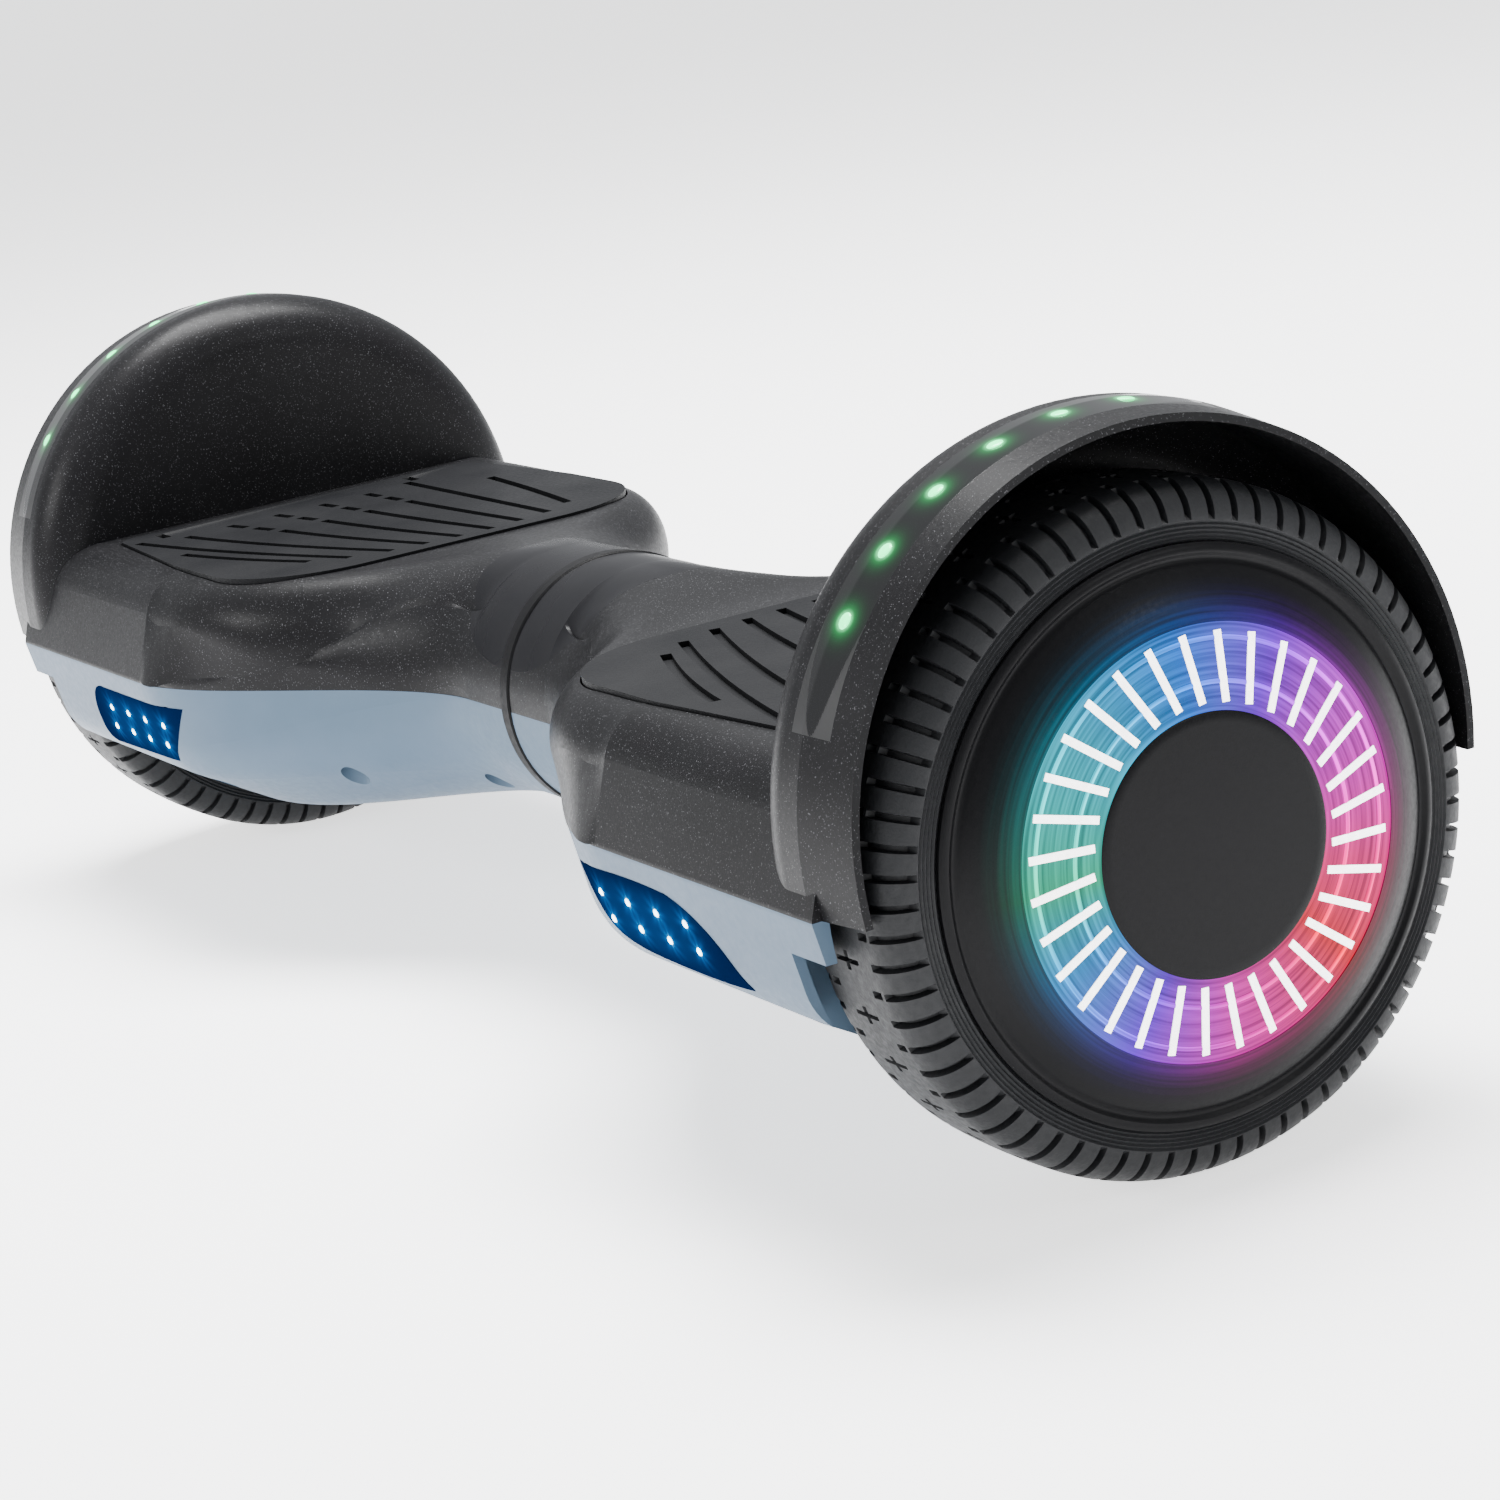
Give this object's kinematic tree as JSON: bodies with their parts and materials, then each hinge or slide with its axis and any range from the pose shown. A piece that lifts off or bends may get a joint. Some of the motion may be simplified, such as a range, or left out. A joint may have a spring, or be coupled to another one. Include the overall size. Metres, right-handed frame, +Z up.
{
  "type": "self balancing board",
  "caption": "Two-wheeled self balancing board: two twisting halves with foot pads, mudguard arches and lit hub wheels.",
  "frame": {"origin": "on the floor, midway between the wheels, under the axle line", "axes": "+X along the axle towards the charging half's wheel, -Y towards the headlights, +Z up"},
  "size_m": [0.592, 0.1807, 0.1825],
  "materials": {
    "shell_black": "fine sparkle texture, satin",
    "shell_grey": "satin",
    "gloss_black": "polished",
    "led_green": "clear, lit",
    "pad_rubber": "matt, grooved",
    "lens_blue": "polished, tinted",
    "led_white": "clear, lit",
    "cast_alloy": "as cast",
    "screw_steel": "black oxide",
    "circuit_board": "solder mask",
    "tyre": "moulded",
    "magnet": "nickel plated",
    "hub_plastic": "fine grain, satin",
    "light_ring": "translucent, lit in rainbow colours",
    "light_bar": "opal, lit",
    "bearing_steel": "ground",
    "axle_steel": "turned",
    "stator_steel": "laminated",
    "copper": "enamelled copper wire",
    "battery_wrap": "shrink film",
    "bush_brass": "sintered",
    "seal_rubber": "satin"
  },
  "bodies": {
    "left_frame": {"battery_pack": "battery_wrap", "left_axle": "axle_steel", "left_axle_clamp": "cast_alloy", "left_bearing_inners": "bearing_steel", "left_chassis": "cast_alloy", "left_clamp_screws": "screw_steel", "left_fender_leds": "led_green", "left_fender_strip": "gloss_black", "left_headlight_leds": "led_white", "left_headlight_lens": "lens_blue", "left_indicator_window": "gloss_black", "left_lower_shell": "shell_grey", "left_sensor_board": "circuit_board", "left_shell_screws": "screw_steel", "left_stator": "stator_steel", "left_upper_shell": "shell_black", "left_windings": "copper", "pivot_seal": "seal_rubber", "pivot_shaft": "axle_steel"},
    "right_frame": {"charge_socket": "gloss_black", "main_board": "circuit_board", "pivot_bushes": "bush_brass", "right_axle": "axle_steel", "right_axle_clamp": "cast_alloy", "right_bearing_inners": "bearing_steel", "right_chassis": "cast_alloy", "right_clamp_screws": "screw_steel", "right_fender_leds": "led_green", "right_fender_strip": "gloss_black", "right_headlight_leds": "led_white", "right_headlight_lens": "lens_blue", "right_indicator_window": "gloss_black", "right_lower_shell": "shell_grey", "right_sensor_board": "circuit_board", "right_shell_screws": "screw_steel", "right_stator": "stator_steel", "right_upper_shell": "shell_black", "right_windings": "copper"},
    "left_wheel": {"left_bearing_outers": "bearing_steel", "left_cover_screws": "screw_steel", "left_hub_cover": "hub_plastic", "left_inner_cover": "cast_alloy", "left_light_bars": "light_bar", "left_light_ring": "light_ring", "left_magnets": "magnet", "left_rim": "cast_alloy", "left_tyre": "tyre"},
    "right_wheel": {"right_bearing_outers": "bearing_steel", "right_cover_screws": "screw_steel", "right_hub_cover": "hub_plastic", "right_inner_cover": "cast_alloy", "right_light_bars": "light_bar", "right_light_ring": "light_ring", "right_magnets": "magnet", "right_rim": "cast_alloy", "right_tyre": "tyre"},
    "left_pad": {"left_foot_pad": "pad_rubber"},
    "right_pad": {"right_foot_pad": "pad_rubber"},
    "power_button": {"power_button": "gloss_black"},
    "charge_cap": {"charge_cap": "seal_rubber"}
  },
  "joints": [
    {"name": "frame_twist", "type": "hinge", "parent": "left_frame", "child": "right_frame", "pos_m": [0, 0, 0.0825], "axis": [1, 0, 0], "range_deg": [-12, 12], "stiffness_Nm_per_rad": 12},
    {"name": "left_wheel_spin", "type": "hinge", "parent": "left_frame", "child": "left_wheel", "pos_m": [-0.265, 0, 0.0825], "axis": [1, 0, 0], "continuous": true},
    {"name": "right_wheel_spin", "type": "hinge", "parent": "right_frame", "child": "right_wheel", "pos_m": [0.265, 0, 0.0825], "axis": [1, 0, 0], "continuous": true},
    {"name": "left_pad_press", "type": "slide", "parent": "left_frame", "child": "left_pad", "axis": [0, 0, -1], "range_m": [0, 0.0012], "stiffness_N_per_m": 2500, "springref_m": -0.001},
    {"name": "right_pad_press", "type": "slide", "parent": "right_frame", "child": "right_pad", "axis": [0, 0, -1], "range_m": [0, 0.0012], "stiffness_N_per_m": 2500, "springref_m": -0.001},
    {"name": "power_button_press", "type": "slide", "parent": "left_frame", "child": "power_button", "axis": [0, -0.9785, 0.206], "range_m": [0, 0.0012], "stiffness_N_per_m": 300, "springref_m": -0.001},
    {"name": "charge_cap_hinge", "type": "hinge", "parent": "right_frame", "child": "charge_cap", "pos_m": [0.19, 0.0897, 0.07766], "axis": [1, 0, 0], "range_deg": [0, 105]}
  ]
}
